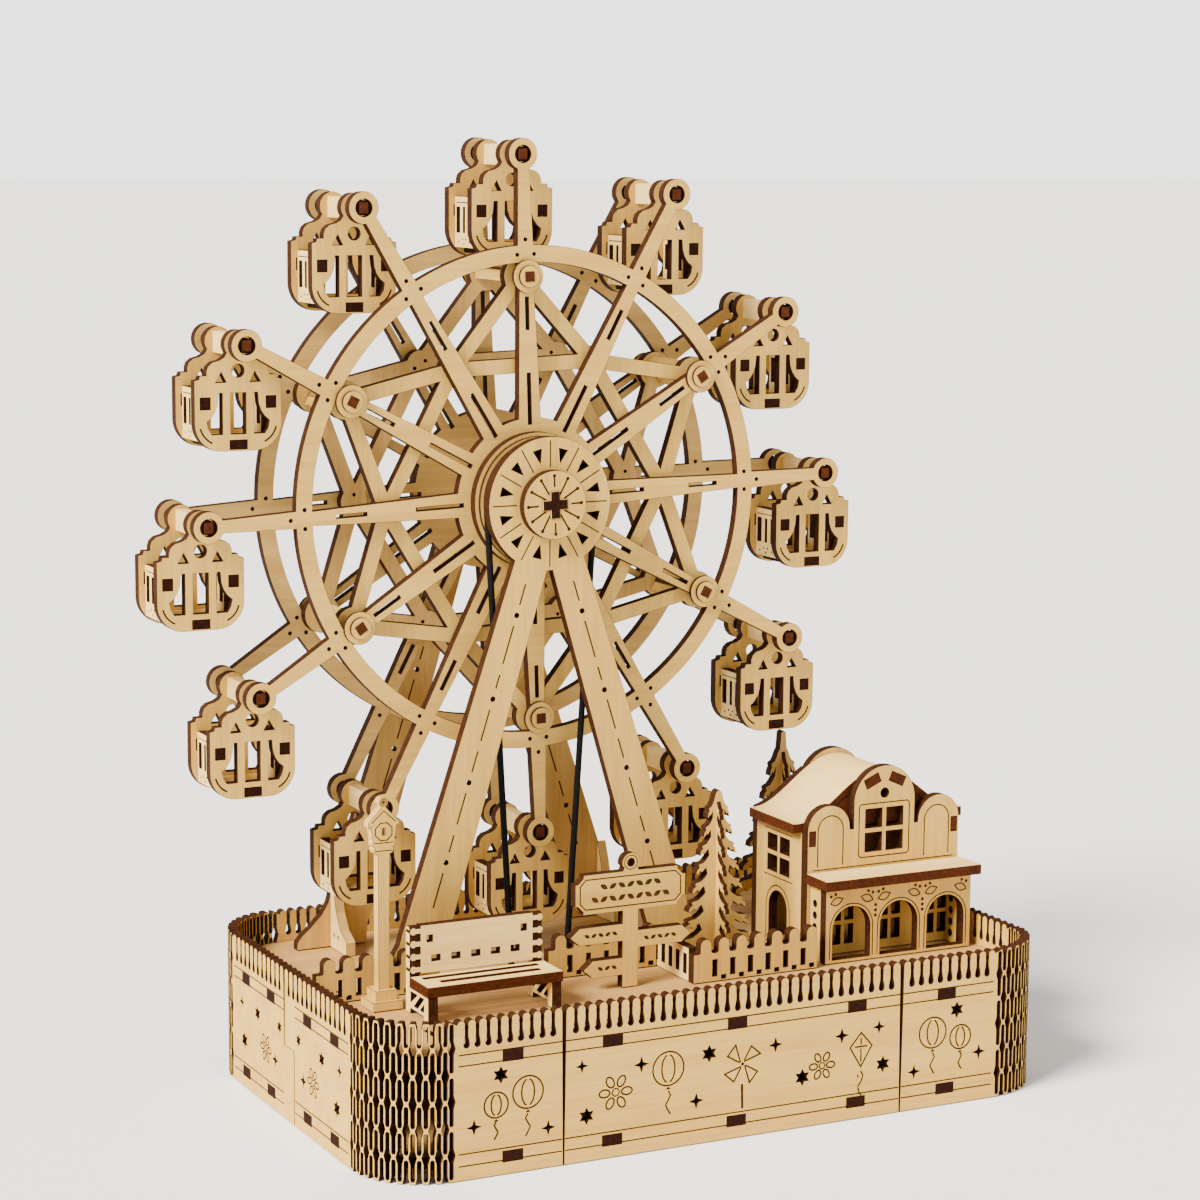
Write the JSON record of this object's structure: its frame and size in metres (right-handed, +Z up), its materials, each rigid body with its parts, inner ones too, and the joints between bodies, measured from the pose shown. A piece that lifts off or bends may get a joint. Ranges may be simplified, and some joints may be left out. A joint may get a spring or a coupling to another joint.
{
  "type": "ferris wheel music box",
  "caption": "Plywood ferris wheel with hanging cabins on a music box, whose deck carries a small park with a shop, bench, lamp, signpost, fences and trees.",
  "frame": {"origin": "on the table, under the middle of the whole object's box", "axes": "+Z up, the front with the park faces -Y, the axle lies along Y, the bench is towards -X and the shop towards +X"},
  "size_m": [0.2498, 0.151, 0.2789],
  "materials": {
    "plywood": "bare laser cut birch plywood with scorched brown edges",
    "pale_plywood": "bare pale birch plywood with scorched brown edges",
    "shaded_plywood": "bare birch plywood of a browner sheet",
    "belt_rubber": "matt black round belt",
    "movement_brass": "satin brass",
    "movement_steel": "satin steel"
  },
  "bodies": {
    "root": {"floor_plate": "plywood", "deck": "plywood", "wall_front": "plywood", "wall_rear": "plywood", "wall_corner_front_left": "pale_plywood", "wall_corner_rear_left": "pale_plywood", "wall_corner_front_right": "plywood", "wall_corner_rear_right": "plywood", "stand_front": "plywood", "stand_rear": "shaded_plywood", "bench": "pale_plywood", "lamp_post": "plywood", "signpost": "plywood", "fence_left": "plywood", "fence_middle": "plywood", "fence_right": "plywood", "tree_front": "pale_plywood", "tree_rear": "shaded_plywood", "shop_walls": "plywood", "shop_front": "plywood", "shop_roof": "pale_plywood", "shop_porch": "plywood", "movement_bedplate": "movement_brass", "movement_comb": "movement_steel", "spring_barrel": "movement_brass", "drive_belt": "belt_rubber"},
    "wheel": {"wheel_rim_front": "plywood", "wheel_rim_rear": "shaded_plywood", "wheel_star_front": "plywood", "wheel_star_rear": "shaded_plywood", "cross_bar_1": "plywood", "cross_bar_2": "plywood", "cross_bar_3": "plywood", "cross_bar_4": "plywood", "cross_bar_5": "plywood", "cross_bar_6": "plywood", "hub_disc_front": "plywood", "hub_disc_rear": "shaded_plywood", "wheel_pulley": "plywood", "axle": "shaded_plywood", "axle_cap_front": "plywood", "axle_cap_rear": "shaded_plywood"},
    "cabin_body_01": {"cabin_01": "plywood"},
    "cabin_body_02": {"cabin_02": "plywood"},
    "cabin_body_03": {"cabin_03": "plywood"},
    "cabin_body_04": {"cabin_04": "plywood"},
    "cabin_body_05": {"cabin_05": "plywood"},
    "cabin_body_06": {"cabin_06": "plywood"},
    "cabin_body_07": {"cabin_07": "plywood"},
    "cabin_body_08": {"cabin_08": "plywood"},
    "cabin_body_09": {"cabin_09": "plywood"},
    "cabin_body_10": {"cabin_10": "plywood"},
    "cabin_body_11": {"cabin_11": "plywood"},
    "cabin_body_12": {"cabin_12": "plywood"},
    "drive": {"pinned_cylinder": "movement_brass", "drive_pulley": "plywood"},
    "spring": {"spring_wheel": "movement_brass"},
    "fly": {"governor": "movement_steel"},
    "key": {"winding_key": "movement_brass"}
  },
  "joints": [
    {"name": "wheel_spin", "type": "hinge", "parent": "root", "child": "wheel", "pos_m": [-0.012, 0.0175, 0.1749], "axis": [0, 1, 0], "continuous": true},
    {"name": "cabin_01_hang", "type": "hinge", "parent": "wheel", "child": "cabin_body_01", "pos_m": [-0.01534, 0.0175, 0.27484], "axis": [0, 1, 0], "continuous": true},
    {"name": "cabin_02_hang", "type": "hinge", "parent": "wheel", "child": "cabin_body_02", "pos_m": [-0.06486, 0.0175, 0.25979], "axis": [0, 1, 0], "continuous": true},
    {"name": "cabin_03_hang", "type": "hinge", "parent": "wheel", "child": "cabin_body_03", "pos_m": [-0.10022, 0.0175, 0.22199], "axis": [0, 1, 0], "continuous": true},
    {"name": "cabin_04_hang", "type": "hinge", "parent": "wheel", "child": "cabin_body_04", "pos_m": [-0.11195, 0.0175, 0.17157], "axis": [0, 1, 0], "continuous": true},
    {"name": "cabin_05_hang", "type": "hinge", "parent": "wheel", "child": "cabin_body_05", "pos_m": [-0.09689, 0.0175, 0.12204], "axis": [0, 1, 0], "continuous": true},
    {"name": "cabin_06_hang", "type": "hinge", "parent": "wheel", "child": "cabin_body_06", "pos_m": [-0.05909, 0.0175, 0.08668], "axis": [0, 1, 0], "continuous": true},
    {"name": "cabin_07_hang", "type": "hinge", "parent": "wheel", "child": "cabin_body_07", "pos_m": [-0.00867, 0.0175, 0.07496], "axis": [0, 1, 0], "continuous": true},
    {"name": "cabin_08_hang", "type": "hinge", "parent": "wheel", "child": "cabin_body_08", "pos_m": [0.04086, 0.0175, 0.09001], "axis": [0, 1, 0], "continuous": true},
    {"name": "cabin_09_hang", "type": "hinge", "parent": "wheel", "child": "cabin_body_09", "pos_m": [0.07622, 0.0175, 0.12781], "axis": [0, 1, 0], "continuous": true},
    {"name": "cabin_10_hang", "type": "hinge", "parent": "wheel", "child": "cabin_body_10", "pos_m": [0.08794, 0.0175, 0.17823], "axis": [0, 1, 0], "continuous": true},
    {"name": "cabin_11_hang", "type": "hinge", "parent": "wheel", "child": "cabin_body_11", "pos_m": [0.07289, 0.0175, 0.22776], "axis": [0, 1, 0], "continuous": true},
    {"name": "cabin_12_hang", "type": "hinge", "parent": "wheel", "child": "cabin_body_12", "pos_m": [0.03508, 0.0175, 0.26312], "axis": [0, 1, 0], "continuous": true},
    {"name": "drive_spin", "type": "hinge", "parent": "root", "child": "drive", "pos_m": [-0.012, 0.0175, 0.02], "axis": [0, 1, 0], "continuous": true},
    {"name": "spring_spin", "type": "hinge", "parent": "root", "child": "spring", "pos_m": [-0.0256, 0.0175, 0.02], "axis": [0, 1, 0], "continuous": true},
    {"name": "governor_spin", "type": "hinge", "parent": "root", "child": "fly", "pos_m": [-0.00908, 0.0175, 0.02798], "axis": [0, 1, 0], "continuous": true},
    {"name": "key_wind", "type": "hinge", "parent": "root", "child": "key", "pos_m": [-0.0256, 0.0175, 0.02], "axis": [0, 1, 0], "range_deg": [0, 1080]}
  ],
  "couplings": [
    {"joint": "cabin_01_hang", "follows": "wheel_spin", "ratio": -1},
    {"joint": "cabin_02_hang", "follows": "wheel_spin", "ratio": -1},
    {"joint": "cabin_03_hang", "follows": "wheel_spin", "ratio": -1},
    {"joint": "cabin_04_hang", "follows": "wheel_spin", "ratio": -1},
    {"joint": "cabin_05_hang", "follows": "wheel_spin", "ratio": -1},
    {"joint": "cabin_06_hang", "follows": "wheel_spin", "ratio": -1},
    {"joint": "cabin_07_hang", "follows": "wheel_spin", "ratio": -1},
    {"joint": "cabin_08_hang", "follows": "wheel_spin", "ratio": -1},
    {"joint": "cabin_09_hang", "follows": "wheel_spin", "ratio": -1},
    {"joint": "cabin_10_hang", "follows": "wheel_spin", "ratio": -1},
    {"joint": "cabin_11_hang", "follows": "wheel_spin", "ratio": -1},
    {"joint": "cabin_12_hang", "follows": "wheel_spin", "ratio": -1},
    {"joint": "drive_spin", "follows": "wheel_spin", "ratio": 2.1728},
    {"joint": "spring_spin", "follows": "wheel_spin", "ratio": -0.72428},
    {"joint": "governor_spin", "follows": "wheel_spin", "ratio": -8.6914}
  ]
}
